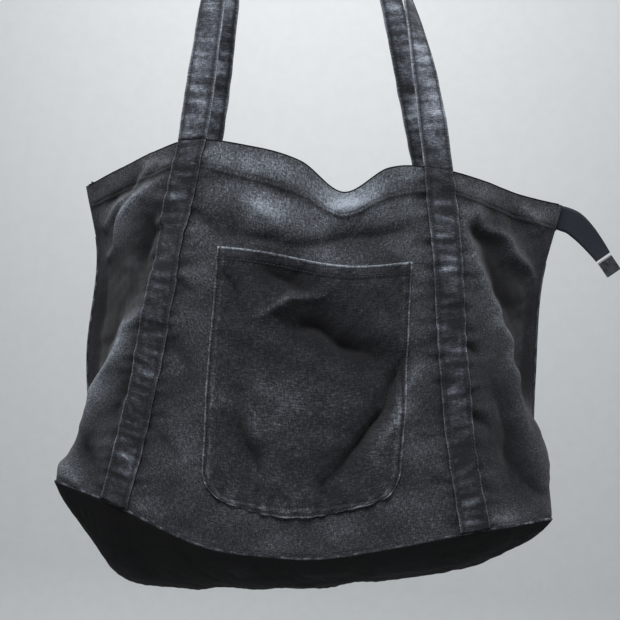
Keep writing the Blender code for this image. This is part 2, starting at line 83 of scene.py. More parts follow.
# The walls' cage, in millimetres: columns at these s, rows at these t.
COLUMNS = (-1.0, -0.8, -0.62, -0.45, -0.22, -0.06, 0.09, 0.24, 0.45, 0.62, 0.8, 1.0)
ROWS = {
    0.00: {
        "across": (-235, -196, -161, -121, -62, -17, 25, 66, 112, 156, 194, 241),
        "depth": (0, 15, 28, 36, 38, 38, 38, 38, 36, 28, 15, 0),
        "drop": (43, 25, 9, -4, 0, 11, 38, 13, 11, 19, 29, 36),
    },
    0.22: {
        "across": (-222, -192, -168, -136, -69, -18, 27, 72, 124, 165, 197, 228),
        "depth": (0, 24, 38, 44, 47, 48, 48, 47, 44, 38, 24, 0),
        "drop": (113, 100, 88, 78, 98, 110, 114, 102, 83, 92, 104, 115),
    },
    0.50: {
        "across": (-230, -206, -180, -148, -76, -20, 26, 76, 136, 176, 206, 230),
        "depth": (0, 31, 45, 52, 57, 58, 58, 57, 52, 45, 31, 0),
        "drop": (212, 190, 178, 176, 203, 212, 213, 204, 178, 180, 192, 212),
    },
    0.78: {
        "across": (-224, -219, -192, -163, -85, -22, 27, 80, 151, 193, 236, 233),
        "depth": (0, 44, 55, 59, 61, 62, 62, 61, 59, 55, 44, 0),
        "drop": (301, 274, 268, 273, 302, 311, 311, 302, 274, 270, 281, 305),
    },
    1.00: {
        "across": (-217, -238, -212, -178, -90, -24, 26, 84, 169, 209, 241, 224),
        "depth": (0, 57, 64, 64, 63, 62, 62, 63, 64, 64, 57, 0),
        "drop": (369, 332, 336, 348, 384, 390, 388, 374, 350, 340, 335, 372),
    },
}

# Folds of the pocket side: height and half-width in millimetres, then the crest's points (x, z) in the body.
# Some points here, in POCKET_FOLDS and in LEDGES are creases picked in the photograph and carried through the
# fitted camera by a helper program. report.md says how many.
FOLDS = (
    (8, 7, ((-159, -288), (-182, -317), (-213, -352))),
    (9, 7, ((-150, -306), (-174, -324), (-192, -353), (-205, -379))),
    (-15, 15, ((-156, -338), (-166, -392))),
    (-5, 9, ((-176, -300), (-206, -326))),
    (10, 7, ((-150, -424), (-176, -446), (-186, -474), (-204, -514), (-214, -546))),
    (-8, 15, ((-196, -420), (-216, -486))),
    (-5, 9, ((-165, -480), (-180, -530))),
    (8, 10, ((-236, -580), (-210, -606))),
    (-9, 9, ((-214, -562), (-196, -584))),
    (-3.5, 5, ((-119, -332), (-92, -355))),
    (-3, 4, ((-124, -398), (-112, -410))),
    (-4, 6, ((-132, -452), (-105, -496))),
    (-3, 5, ((-150, -540), (-120, -566))),
    (5, 7, ((9, -325), (17, -328), (38, -319), (55, -314))),
    (4, 30, ((10, -312), (40, -306))),
    (-6, 9, ((-80, -351), (-13, -362), (61, -346), (92, -333))),
    (5, 9, ((-70, -322), (-30, -336))),
    (-4, 9, ((-60, -300), (-20, -322))),
    (5, 7, ((136, -326), (163, -386), (186, -430), (202, -474), (214, -520))),
    (9, 9, ((150, -322), (188, -346), (218, -378))),
    (-7, 12, ((176, -380), (208, -420))),
    (4, 8, ((196, -312), (226, -332))),
    (-5, 8, ((160, -507), (179, -526))),
    (-6, 8, ((212, -573), (232, -581))),
    (7, 8, ((188, -612), (220, -618))),
    (-3, 4, ((150, -446), (164, -452))),
    (-3, 4, ((150, -488), (162, -493))),
    (-10, 16, ((176, -480), (196, -530), (206, -570))),
)
POCKET_FOLDS = (
    (7, 8, ((-44, -430), (-18, -408), (10, -404))),
    (-12, 16, ((-30, -428), (18, -446), (61, -462))),
    (-6, 14, ((-46, -386), (-4, -404))),
    (-9, 8, ((90, -459), (73, -511), (52, -548), (23, -585))),
    (6, 9, ((104, -470), (88, -520), (70, -556))),
    (-4, 6, ((-86, -385), (-61, -426))),
    (-4.5, 6, ((-64, -529), (-48, -561), (-34, -579))),
    (3, 40, ((-30, -490), (-10, -540))),
)
FOLD_ENDS = 0.45
# Where the cloth turns away beside a crest: how far it sinks, over what reach, to which side, and the crest.
LEDGES = (
    (15, 45, -1, ((-146, -418), (-176, -446), (-186, -474), (-204, -514), (-216, -552))),
    (17, 40, 1, ((132, -318), (163, -386), (186, -430), (202, -474), (216, -530))),
    (6, 24, -1, ((-152, -300), (-174, -324), (-192, -353), (-207, -385))),
)

# Patch pocket, in the body's millimetres
POCKET_LEFT, POCKET_RIGHT = -91, 93
POCKET_FLARE = 3
POCKET_TOP = -365
POCKET_DIP, POCKET_DIP_X = 12, 30
POCKET_FOOT = -604
POCKET_FOOT_SAG, POCKET_FOOT_TILT = 14, 0.05
POCKET_CORNER = 34
POCKET_GAPE = 6 * MM

# Base panel
BASE_DROP = 1.2 * MM
BASE_SAG = 46 * MM
BASE_LEVEL = 0.70
BASE_TILT = 0.10
BASE_LEFT_FALL = 9 * MM

# Zip, close to the CAD's; its left end tape stops short
ZIP_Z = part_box("zip_tape_front")[0].z + 0.3 * MM
FLAP_HALF_LENGTH = 160 * MM
FLAP_INNER_Y = 8 * MM
TAPE_OUTER_Y, TAPE_INNER_Y = 12.5 * MM, 1.2 * MM
TAPE = 0.6 * MM
COIL_WIDTH, COIL_HEIGHT, CHAIN_GAP = 2.5 * MM, 1.9 * MM, 0.55 * MM
COIL_PITCH = 1.7 * MM
COIL_WIRE = 0.36 * MM
PARK_LENGTH, PARK_GAP = 20 * MM, 1.5 * MM
END_TWIST_START, END_TWIST_STOP = 186 * MM, 216 * MM
PARK_SLOT = 22 * MM
WING_TIP_X, WING_TIP_Z = 238 * MM, -HANDLE_RISE - 49 * MM
LEFT_TIP_SHORT = 7 * MM
TAIL_HINGE_X = WING_TIP_X + 5 * MM
TAIL_POINTS = ((-9, 0, 2), (1, 0, 0), (11, -2, -4), (23, -3, -14), (35, -4, -27), (43, -5, -37))
TAIL_WIDTHS = (23, 24, 23.5, 21.5, 18.5, 16)
TAIL_SHARE, TAIL_TURNS = 0.97, 40  # the tape stops 2.3 mm short of the cap

# Handles, close to the CAD's
HANDLE_TOP_Y = 15.5 * MM
HANDLE_GUIDE_X = {(FRONT, -1): -104, (FRONT, 1): 82, (BACK, -1): -99, (BACK, 1): 66}
HANDLE_GUIDE_Z = -120 * MM
HANDLE_SHOULDER = 74 * MM
SEAT_HALF_LENGTH = 13 * MM
SEAT_START = 42 / 45
FOOT_END = 0.10
HANDLE_TURN_END = {(FRONT, -1): 0.92, (FRONT, 1): 0.45, (BACK, -1): 0.92, (BACK, 1): 0.92}
HANDLE_RINGS = 260
HANDLE_WEAR, BAND_WEAR = 0.56, 0.29
HANDLE_LEAN = 0.86
HANDLE_BEND_Y, HANDLE_BEND_Z = 39 * MM, (-284 * MM, -246 * MM)

# Camera, from a least-squares fit at a chosen distance of 0.7 m
CAMERA_PLACE = Vector((BODY_X + 22 * MM, -0.70, -0.356))
CAMERA_YAW, CAMERA_PITCH, CAMERA_ROLL = (math.radians(a) for a in (2.28, -5.5, -3.47))
CAMERA_LENS = 40.06


# ---------------- curves, noise and the wall sheets


def through(places, values, at):
    """A smooth curve through (place, value) pairs, read at many places; values may have a row per place."""
    places, values, at = (np.asarray(a, float) for a in (places, values, at))
    last = len(places) - 1
    k = np.searchsorted(places[1:-1], at, side="left")

    def value(i):
        return values[i] if values.ndim == 1 else np.take_along_axis(values, i[None], 0)[0]

    def slope(i):
        lower, upper = np.maximum(i - 1, 0), np.minimum(i + 1, last)
        return (value(upper) - value(lower)) / (places[upper] - places[lower])

    width = places[k + 1] - places[k]
    f = (at - places[k]) / width
    rise = value(k + 1) - value(k)
    a = slope(k) * width - rise
    b = rise - slope(k + 1) * width
    return value(k) + rise * f + f * (1 - f) * (a * (1 - f) + b * f)


def smooth(x, low, high):
    f = np.clip((x - low) / (high - low), 0, 1)
    return f * f * (3 - 2 * f)


def bump(x, middle, half_width):
    return np.exp(-(((x - middle) / half_width) ** 2))


def ripple(x, y, size, seed, waves=14):
    """Smooth seeded noise of about this size, as a sum of plane waves; it runs about from -1 to 1."""
    draw = np.random.default_rng(seed)
    total = np.zeros(np.broadcast(x, y).shape)
    for _ in range(waves):
        angle, phase = draw.uniform(0, 2 * math.pi, 2)
        rate = 2 * math.pi / (size * draw.uniform(0.7, 1.6))
        total += np.sin((x * math.cos(angle) + y * math.sin(angle)) * rate + phase)
    return total / math.sqrt(waves) / 1.2


def wall_value(kind, s, t):
    read = np.stack([through(COLUMNS, row[kind], s) for row in ROWS.values()])
    return through(tuple(ROWS), read, t)


def flat_point(side, s, t):
    """The wall without its folds."""
    side_gap = DENIM + SEAM_GAP + TAIL_SLOT * (1 - smooth(t, 0.12, 0.20))
    depth = np.maximum(wall_value("depth", s, t) * MM, side_gap)
    x = wall_value("across", s, t) * MM + BODY_X
    z = -HANDLE_RISE - wall_value("drop", s, t) * MM
    return np.stack([x, side * depth, z], -1)


def unit(vectors):
    return vectors / np.linalg.norm(vectors, axis=-1, keepdims=True)


def flat_normal(side, s, t, step=0.01):
    s0, s1 = np.maximum(s - step, -1), np.minimum(s + step, 1)
    t0, t1 = np.maximum(t - step, 0), np.minimum(t + step, 1)
    along = flat_point(side, s1, t) - flat_point(side, s0, t)
    down = flat_point(side, s, t1) - flat_point(side, s, t0)
    return unit(side * np.cross(along, down))


def distance_to_line(x, z, points):
    """Distance to a line of straight runs, how far along it the nearest place is, from 0 to 1, and its x."""
    best = np.full(x.shape, 1e9)
    where, nearest = np.zeros(x.shape), np.zeros(x.shape)
    count = len(points) - 1
    for i in range(count):
        ax, az = points[i]
        bx, bz = points[i + 1][0] - ax, points[i + 1][1] - az
        f = np.clip(((x - ax) * bx + (z - az) * bz) / (bx * bx + bz * bz), 0, 1)
        d = np.hypot(x - ax - f * bx, z - az - f * bz)
        nearer = d < best
        best[nearer] = d[nearer]
        where[nearer] = ((i + f) / count)[nearer]
        nearest[nearer] = (ax + f * bx)[nearer]
    return best, where, nearest


def folds_height(x, z, folds, ledges=()):
    """The folds' height in millimetres. A crest is sharp, and fades towards its ends."""
    x, z = x + 2.5 * ripple(x, z, 40, 5), z + 2.5 * ripple(x, z, 40, 6)
    height = np.zeros(x.shape)
    for top, half_width, points in folds:
        d, f, _ = distance_to_line(x, z, points)
        fade = FOLD_ENDS + (1 - FOLD_ENDS) * np.sin(math.pi * f)
        height += top * fade * np.exp(-(np.hypot(d, 2.5) - 2.5) / (0.8 * half_width))
    for sink, reach, toward, points in ledges:
        d, f, nearest = distance_to_line(x, z, points)
        beside = smooth(toward * (x - nearest), 0, 0.4 * reach)
        height -= sink * beside * np.exp(-d / reach) * smooth(f, 0, 0.12) * smooth(f, 1.0, 0.8)
    return height


def band_distance(s, t):
    """Distance across the wall to the nearer edge of a strap's sewn run, in metres."""
    x = wall_value("across", s, t) * MM
    strap = np.where(s < 0, -STRAP_COLUMN, STRAP_COLUMN)
    return np.abs(np.abs(x - wall_value("across", strap, t) * MM) - STRAP_HALF)


def relief(side, s, t):
    """How far the folded cloth stands off the flat wall, in metres, and its colour from 0 to 1: wear, with
    painted shade in hollows, under the hem and beside the straps, and painted highlights on crests and the
    top.
    """
    point = flat_point(side, s, t)
    x, z = (point[..., 0] - BODY_X) / MM, point[..., 2] / MM
    turn = -1 if side == BACK else 1
    height = folds_height(x * turn, z, FOLDS, LEDGES)
    if side == FRONT:
        height = height + 1.5 * folds_height(x, z, POCKET_FOLDS)
    creased = height
    height = height + 1.9 * ripple(x * turn, z, 85, 11 + side)
    height = height + 0.9 * ripple(x * turn, z * 0.7, 30, 13 + side)
    height = height + 0.35 * ripple(x, z * 0.8, 11, 17 + side)
    d = band_distance(s, t) / MM
    height = height + 1.5 * ripple(x * 0.25, z, 13, 23 + side) * np.exp(-d / 11)
    down = t * WALL_HEIGHT / MM
    height = height + 0.9 * ripple(x, z * 0.3, 15, 31 + side) * bump(down, 32, 14)
    height = height + 1.0 * ripple(x, z * 0.3, 14, 37 + side) * bump(down, 385, 14)
    calm = smooth(np.abs(s), 1.0, 0.93) * smooth(t, 1.0, 0.975) * (0.35 + 0.65 * smooth(down, 0, 30))
    hem = 1.0 * (1 - smooth(down, HEM_DEPTH / MM - 1.5, HEM_DEPTH / MM + 1.5))
    hem = (hem - 0.8 * bump(down, HEM_DEPTH / MM - 3, 1.3)) * smooth(np.abs(s), 1.0, 0.96)
    # Lighter on the folds' crests and darker in their hollows: partly the wash's wear, partly painted
    # highlight and painted shade.
    wear_and_shade = 0.42 + 0.45 * np.tanh(creased / 9) + (height - creased) / 40
    # A dark line just under the hem's edge is painted shade; the lighter band within the hem is wear.
    wear_and_shade = wear_and_shade - 0.22 * bump(down, HEM_DEPTH / MM + 1, 3.5) + 0.10 * bump(down, 12, 8)
    # Darker along the straps' edges: painted shade where the straps meet the wall. Lighter across the upper
    # middle, where the wall faces up into the light: painted highlight.
    wear_and_shade = wear_and_shade - 0.16 * np.exp(-d / 3.5) + 0.16 * (1 - smooth(down, 30, 150)) * smooth(np.abs(s), 0.5, 0.3)
    wear_and_shade = wear_and_shade + 0.05 * ripple(x, z, 45, 71 + side) + 0.04 * smooth(down, 250, 380)
    return (height * calm + hem) * MM, np.clip(wear_and_shade, 0, 1)


def on_wall(side, s, t, offset):
    """Points at this offset out from the folded wall's outer face."""
    raised, _ = relief(side, s, t)
    return flat_point(side, s, t) + flat_normal(side, s, t) * (offset + raised)[..., None]


def column_at(x, t):
    """The column where a wall is this far across (metres, in the body) at row t, by Newton's steps."""
    s = np.clip(x / (0.27 + 0 * t), -0.8, 0.8)
    step = 0.01
    for _ in range(7):
        here = wall_value("across", s, t) * MM
        slope = (wall_value("across", s + step, t) * MM - here) / step
        s = np.clip(s + (x - here) / slope, -0.97, 0.97)
    return s


def place_on_wall(x, z):
    """(s, t) of a point given in the body's millimetres, found in turn across and down."""
    t = np.clip((-z - 300) / 350, 0.02, 0.98)
    for _ in range(12):
        s = column_at(x * MM, t)
        here = HANDLE_RISE / MM + wall_value("drop", s, t)
        slope = (wall_value("drop", s, t + 0.01) - wall_value("drop", s, t)) / 0.01
        t = np.clip(t + (-z - here) / slope, 0.0, 1.0)
    return column_at(x * MM, t), t


# ---------------- materials


class Nodes:
    """A short way to write a node tree."""

    def __init__(self, name):
        self.material = bpy.data.materials.new(name)
        self.material.use_nodes = True
        self.tree = self.material.node_tree
        self.shader = self.tree.nodes["Principled BSDF"]

    def add(self, kind, **settings):
        node = self.tree.nodes.new("ShaderNode" + kind)
        for key, value in settings.items():
            setattr(node, key, value)
        return node

    def link(self, out, into):
        self.tree.links.new(out, into)

    def feed(self, value, socket):
        if isinstance(value, (int, float, tuple)):
            socket.default_value = value
        else:
            self.link(value, socket)

    def math(self, operation, a, b):
        node = self.add("Math", operation=operation)
        self.feed(a, node.inputs[0])
        self.feed(b, node.inputs[1])
        return node.outputs[0]

    def scaled(self, vector, scale):
        node = self.add("VectorMath", operation="MULTIPLY")
        self.feed(vector, node.inputs[0])
        node.inputs[1].default_value = scale
        return node.outputs[0]

    def noise(self, vector, scale, detail=2.0, roughness=0.5):
        node = self.add("TexNoise")
        self.link(self.scaled(vector, scale), node.inputs["Vector"])
        node.inputs["Scale"].default_value = 1.0
        node.inputs["Detail"].default_value = detail
        node.inputs["Roughness"].default_value = roughness
        return node.outputs[0]

    def attribute(self, name, output):
        return self.add("Attribute", attribute_name=name).outputs[output]

    def ramp(self, factor, stops):
        node = self.add("ValToRGB")
        ramp = node.color_ramp
        while len(ramp.elements) < len(stops):
            ramp.elements.new(0.5)
        for element, (place, colour) in zip(ramp.elements, stops):
            element.position = place
            element.color = (*colour, 1)
        self.link(factor, node.inputs[0])
        return node.outputs[0]

    def bump(self, height, distance, strength=1.0):
        node = self.add("Bump")
        node.inputs["Distance"].default_value = distance
        node.inputs["Strength"].default_value = strength
        self.link(height, node.inputs["Height"])
        self.link(node.outputs[0], self.shader.inputs["Normal"])

    def sockets(self, **values):
        for key, value in values.items():
            self.shader.inputs[key.replace("_", " ")].default_value = value


def denim_material(name, stops, contrast=1.0, sheen=0.12, streak=1.0):
    """Washed denim: yarns both ways, slubs, salt-and-pepper, blotches of wear, and wear with painted light
    and shade along the folds.
    """
    n = Nodes(name)
    weave = n.attribute("weave", "Vector")
    wear_and_shade = n.attribute("wear_and_shade", "Fac")
    warp = n.noise(weave, (700, 210, 1), 2)
    weft = n.noise(weave, (210, 700, 1), 2)
    pepper = n.noise(weave, (760, 760, 1), 2, 0.7)
    blotch = n.noise(weave, (30, 22, 1), 4, 0.55)
    patch = n.noise(weave, (110, 80, 1), 3, 0.6)
    factor = n.math("MULTIPLY", wear_and_shade, 0.95)
    for part, share in ((warp, 0.60 * streak), (weft, 0.65), (pepper, 0.55), (blotch, 0.10), (patch, 0.10)):
        centred = n.math("SUBTRACT", part, 0.5)
        factor = n.math("ADD", factor, n.math("MULTIPLY", centred, share * contrast))
    n.link(n.ramp(factor, stops), n.shader.inputs["Base Color"])
    threads = n.math("ADD", n.math("MULTIPLY", warp, 0.6), n.math("ADD", weft, pepper))
    n.bump(threads, 0.7 * MM, 0.9)
    n.link(n.math("ADD", n.math("MULTIPLY", pepper, 0.12), 0.84), n.shader.inputs["Roughness"])
    n.sockets(Sheen_Weight=sheen, Sheen_Roughness=0.6, Specular_IOR_Level=0.15)
    return n.material


def tape_material(name, colour, dark, roughness):
    """Woven polyester tape: fine ribs across it."""
    n = Nodes(name)
    weave = n.attribute("weave", "Vector")
    ribs = n.add("TexWave", wave_type="BANDS", bands_direction="X")
    n.link(n.scaled(weave, (230, 230, 1)), ribs.inputs["Vector"])
    ribs.inputs["Scale"].default_value = 1.0
    ribs.inputs["Distortion"].default_value = 1.5
    dust = n.noise(weave, (420, 420, 1), 3, 0.6)
    mixed = n.math("ADD", n.math("MULTIPLY", ribs.outputs[1], 0.35), n.math("MULTIPLY", dust, 0.65))
    n.link(n.ramp(mixed, ((0.25, dark), (0.75, colour))), n.shader.inputs["Base Color"])
    n.bump(ribs.outputs[1], 0.25 * MM, 0.7)
    n.link(n.math("ADD", n.math("MULTIPLY", dust, 0.2), roughness), n.shader.inputs["Roughness"])
    n.sockets(Specular_IOR_Level=0.35)
    return n.material


def metal_material(name):
    """Brushed gunmetal, rubbed brighter in places."""
    n = Nodes(name)
    where = n.add("TexCoord").outputs["Object"]
    brushed = n.noise(where, (3200, 3200, 260), 2)
    rubbed = n.noise(where, (160, 160, 160), 3, 0.6)
    stops = ((0.3, (0.075, 0.080, 0.090)), (0.7, (0.21, 0.22, 0.24)))
    n.link(n.ramp(rubbed, stops), n.shader.inputs["Base Color"])
    n.link(n.math("ADD", n.math("MULTIPLY", brushed, 0.3), 0.25), n.shader.inputs["Roughness"])
    n.bump(brushed, 0.05 * MM, 0.3)
    n.sockets(Metallic=0.9)
    return n.material


def thread_material(name, colour, dark):
    n = Nodes(name)
    where = n.add("TexCoord").outputs["Object"]
    fuzz = n.noise(where, (1500, 1500, 1500), 2)
    n.link(n.ramp(fuzz, ((0.3, dark), (0.7, colour))), n.shader.inputs["Base Color"])
    n.bump(fuzz, 0.1 * MM, 0.4)
    n.sockets(Roughness=0.7, Specular_IOR_Level=0.3)
    return n.material


def stage_material(name, colour):
    n = Nodes(name)
    where = n.add("TexCoord").outputs["Object"]
    grain = n.noise(where, (30, 30, 30), 3)
    lighter = tuple(c * 1.02 for c in colour)
    n.link(n.ramp(grain, ((0.4, colour), (0.6, lighter))), n.shader.inputs["Base Color"])
    n.sockets(Roughness=0.8, Specular_IOR_Level=0.2)
    return n.material


BODY_STOPS = (
    (0.10, (0.006, 0.006, 0.008)),
    (0.40, (0.026, 0.028, 0.034)),
    (0.62, (0.085, 0.092, 0.106)),
    (0.95, (0.300, 0.335, 0.390)),
)
STRAP_STOPS = (
    (0.10, (0.010, 0.011, 0.014)),
    (0.42, (0.045, 0.049, 0.060)),
    (0.65, (0.125, 0.138, 0.166)),
    (0.95, (0.380, 0.415, 0.480)),
)
# The walls' denim made far darker all through: painted shade on the base, which faces down, away from the
# light.
BASE_SHADE_STOPS = (
    (0.10, (0.001, 0.001, 0.001)),
    (0.45, (0.004, 0.004, 0.005)),
    (0.70, (0.018, 0.018, 0.021)),
    (0.98, (0.120, 0.123, 0.134)),
)
MATERIALS = {
    "denim": denim_material("washed_denim", BODY_STOPS),
    "strap": denim_material("strap_denim", STRAP_STOPS, streak=0.6),
    # The base's denim is a darker copy: painted shade.
    "denim_base": denim_material("shaded_base_denim", BASE_SHADE_STOPS, contrast=0.8, sheen=0.03),
    "zip_tape": tape_material("woven_tape", (0.014, 0.020, 0.033), (0.004, 0.006, 0.010), 0.62),
    "zip_coil": thread_material("coil_polyester", (0.020, 0.022, 0.028), (0.006, 0.007, 0.010)),
    "gunmetal": metal_material("brushed_gunmetal"),
}
THREAD = thread_material("sewing_thread", (0.085, 0.088, 0.100), (0.030, 0.031, 0.036))


# ---------------- meshes


def add_object(name, mesh, material, body, replaced=()):
    obj = bpy.data.objects.new(name, mesh)
    bpy.context.scene.collection.objects.link(obj)
    mesh.materials.append(material)
    mesh.shade_smooth()
    if body:
        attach(obj, body)
    if replaced:
        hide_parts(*replaced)
    return obj


def mesh_from(name, points, faces, weave=None, wear_and_shade=None):
    """A mesh, with its place in the weave and its wear and painted shade where they are given."""
    mesh = bpy.data.meshes.new(name)
    mesh.from_pydata(points.reshape(-1, 3).tolist(), [], [list(face) for face in faces])
    if weave is not None:
        values = weave.reshape(-1, 3).astype(np.float32).ravel()
        mesh.attributes.new("weave", "FLOAT_VECTOR", "POINT").data.foreach_set("vector", values)
    if wear_and_shade is not None:
        values = np.clip(wear_and_shade, 0, 1).astype(np.float32).ravel()
        mesh.attributes.new("wear_and_shade", "FLOAT", "POINT").data.foreach_set("value", values)
    mesh.update()
    return mesh


def grid_faces(rows, columns, wrap=False, flip=False):
    """Quads over a grid of vertices; wrap joins its last column to its first."""
    wide = columns if wrap else columns - 1
    r, c = np.meshgrid(np.arange(rows - 1), np.arange(wide), indexing="ij")
    after = (c + 1) % columns
    here, below = r * columns, (r + 1) * columns
    quads = np.stack([here + c, here + after, below + after, below + c], -1).reshape(-1, 4)
    return quads[:, ::-1] if flip else quads


def tube_faces(rings, sides):
    """Quads along a tube of these rings, and a face over each end."""
    last = (rings - 1) * sides
    return [*grid_faces(rings, sides, wrap=True).tolist(), list(range(sides))[::-1],
            list(range(last, last + sides))]


def lengths_along(line):
    return np.concatenate([[0], np.cumsum(np.linalg.norm(np.diff(line, axis=0), axis=1))])


def sheet_sizes(points):
    """Mean width and length of a grid of points, and its area."""
    wide = np.linalg.norm(np.diff(points, axis=1), axis=2).sum(1).mean()
    long = np.linalg.norm(np.diff(points, axis=0), axis=2).sum(0).mean()
    a, b = points[1:, 1:] - points[:-1, :-1], points[1:, :-1] - points[:-1, 1:]
    return wide, long, np.linalg.norm(np.cross(a, b), axis=2).sum() / 2


def declare(obj, sizes):
    wide, long, area = sizes
    min(area, wide * long)


def add_cloth(name, slot, body, u, v, place, thickness, replaced=(), flip=False):
    """A sheet over a grid: place(u, v) gives its middle surface and its wear and painted shade."""
    gu, gv = np.meshgrid(u, v)
    points, wear_and_shade = place(gu.ravel(), gv.ravel())
    grid = points.reshape(len(v), len(u), 3)
    sizes = sheet_sizes(grid)
    apart = 0 * gu + len(name) * 0.1
    weave = np.stack([gu * sizes[0], gv * sizes[1], apart], -1)
    mesh = mesh_from(name, points, grid_faces(len(v), len(u), flip=flip), weave, wear_and_shade)
    obj = add_object(name, mesh, MATERIALS[slot], body, replaced)
    solid = obj.modifiers.new("thickness", "SOLIDIFY")
    solid.thickness = thickness
    solid.offset = 0
    solid.use_even_offset = False
    return obj, sizes


STRAP_SAMPLES = np.sin(np.linspace(-1, 1, 37) * math.pi / 2)
GROOVE = 0.76


def add_strap(name, body, frames, replaced, seed, wear):
    """A folded and topstitched strap, lofted along frames of centre, across and face."""
    centre, across, face = (np.array([f[i] for f in frames], float) for i in range(3))
    along = lengths_along(centre)
    w = np.concatenate([STRAP_SAMPLES, STRAP_SAMPLES[::-1][1:-1]])
    upper = np.concatenate([np.ones(len(STRAP_SAMPLES)), -np.ones(len(STRAP_SAMPLES) - 2)])
    ww, aa = np.meshgrid(w, along / MM)
    up = np.broadcast_to(upper, ww.shape)
    half = STRAP_THICKNESS / 2 * np.sqrt(np.clip(1 - np.abs(ww) ** 14, 0, 1))
    groove = bump(np.abs(ww), GROOVE, 0.06)
    ladder = ripple(aa, ww * 3, 9, seed) * (1 - np.abs(ww) ** 4)
    half = half - 0.45 * MM * groove + 0.16 * MM * ladder * (1 - groove)
    edge = 0.35 * MM * ripple(aa, up, 24, seed + 1)
    shift = ww * STRAP_HALF + np.sign(ww) * np.abs(ww) ** 6 * edge
    points = centre[:, None] + across[:, None] * shift[..., None] + face[:, None] * (up * half)[..., None]
    # Lighter where the ladder of puckers stands up and darker where it sinks: partly wear, partly painted
    # highlight and painted shade.
    wear_and_shade = wear + 0.25 * ladder + 0.10 * ripple(aa, ww * 14, 60, seed + 2)
    wear_and_shade = wear_and_shade + 0.07 * ripple(aa, ww * 14, 6, seed + 3)
    # Lighter along the folded edges, which is wear. Darker in the stitched grooves, which is painted shade,
    # and along a line just inside each.
    wear_and_shade = wear_and_shade + 0.30 * smooth(np.abs(ww), 0.90, 0.98) - 0.34 * groove - 0.10 * bump(np.abs(ww), 0.62, 0.07)
    weave = np.stack([ww * STRAP_HALF, aa * MM, 0 * ww + seed + up], -1)
    mesh = mesh_from(name, points, tube_faces(len(frames), len(w)), weave, wear_and_shade)
    fix_normals(mesh)
    obj = add_object(name, mesh, MATERIALS["strap"], body, replaced)
    return obj, (2 * STRAP_HALF, along[-1], 2 * STRAP_HALF * along[-1])


def fix_normals(mesh):
    bm = bmesh.new()
    bm.from_mesh(mesh)
    bmesh.ops.recalc_face_normals(bm, faces=bm.faces)
    bm.to_mesh(mesh)
    bm.free()


def tube_points(line, normal, radius_wide, radius_high, sides):
    """Rings of an oval tube along a line that lies on a surface with these normals."""
    tangent = unit(np.gradient(line, axis=0))
    across = unit(np.cross(tangent, normal))
    normal = np.cross(across, tangent)
    angle = np.arange(sides) * 2 * math.pi / sides
    return (
        line[:, None]
        + across[:, None] * (np.cos(angle) * radius_wide)[None, :, None]
        + normal[:, None] * (np.sin(angle) * radius_high)[None, :, None]
    )


def add_cording(name, slot, body, line, normal, wide, high, wear_and_shade):
    """A seam's raised edge: an oval tube, with its ends closed."""
    sides = 10
    rings = tube_points(line, normal, wide, high, sides)
    along = lengths_along(line)
    weave = np.stack(np.broadcast_arrays(np.arange(sides) * wide / 2, along[:, None], 0.7), -1)
    wear_and_shade = wear_and_shade + 0.2 * ripple(along[:, None] / MM, np.arange(sides) * 1.0, 12, 3)
    mesh = mesh_from(name, rings, tube_faces(len(line), sides), weave, wear_and_shade)
    fix_normals(mesh)
    return add_object(name, mesh, MATERIALS[slot], body)


def resample(line, normal, pitch):
    """Even steps along a line, and the normals there."""
    along = lengths_along(line)
    marks = np.arange(0, along[-1], pitch)

    def at_marks(values):
        return np.stack([np.interp(marks, along, values[:, axis]) for axis in range(3)], -1)

    return at_marks(line), unit(at_marks(normal))


def add_stitches(name, body, lines, pitch=3.6 * MM, length=2.9 * MM, radius=0.24 * MM):
    """Rows of thread stitches: each is a short arched tube with pointed ends."""
    steps = np.array([-0.5, -0.38, -0.14, 0.14, 0.38, 0.5])
    thick = np.array([0.25, 0.8, 1.0, 1.0, 0.8, 0.25])
    lift = np.array([-0.9, 0.1, 0.7, 0.7, 0.1, -0.9])
    sides = 5
    angle = np.arange(sides) * 2 * math.pi / sides
    points, faces, start = [], [], 0
    one_stitch = tube_faces(len(steps), sides)
    for line, normal in lines:
        centres, normals = resample(line, normal, pitch)
        tangents = unit(np.gradient(centres, axis=0))
        across = unit(np.cross(tangents, normals))
        for c, t, a, n in zip(centres, tangents, across, normals):
            middle = c + t * (steps * length)[:, None] + n * (lift * radius)[:, None]
            round_it = a * np.cos(angle)[:, None] + n * np.sin(angle)[:, None]
            rings = middle[:, None] + round_it[None] * (thick * radius)[:, None, None]
            points.append(rings.reshape(-1, 3))
            faces += [[i + start for i in face] for face in one_stitch]
            start += len(steps) * sides
    return add_object(name, mesh_from(name, np.concatenate(points), faces), THREAD, body)


def add_helix(name, body, start, end, y, z, replaced=()):
    """One row of a coil zip: a flat helix of stiff wire along X."""
    turns = round((end - start) / COIL_PITCH)
    f = np.linspace(0, 1, turns * 8 + 1)
    angle = f * turns * 2 * math.pi
    line = np.stack([
        start + (end - start) * f,
        y + np.cos(angle) * (COIL_WIDTH / 2 - COIL_WIRE),
        z + np.sin(angle) * (COIL_HEIGHT / 2 - COIL_WIRE),
    ], -1)
    return add_wire(name, body, line, replaced)


def add_wire(name, body, line, replaced=()):
    curve = bpy.data.curves.new(name, "CURVE")
    curve.dimensions = "3D"
    curve.bevel_depth = COIL_WIRE
    curve.bevel_resolution = 1
    spline = curve.splines.new("POLY")
    spline.points.add(len(line) - 1)
    spline.points.foreach_set("co", np.concatenate([line, np.ones((len(line), 1))], 1).ravel())
    obj = bpy.data.objects.new(name, curve)
    bpy.context.scene.collection.objects.link(obj)
    curve.materials.append(MATERIALS["zip_coil"])
    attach(obj, body)
    if replaced:
        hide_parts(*replaced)
    return obj


# ---------------- walls, base and facings


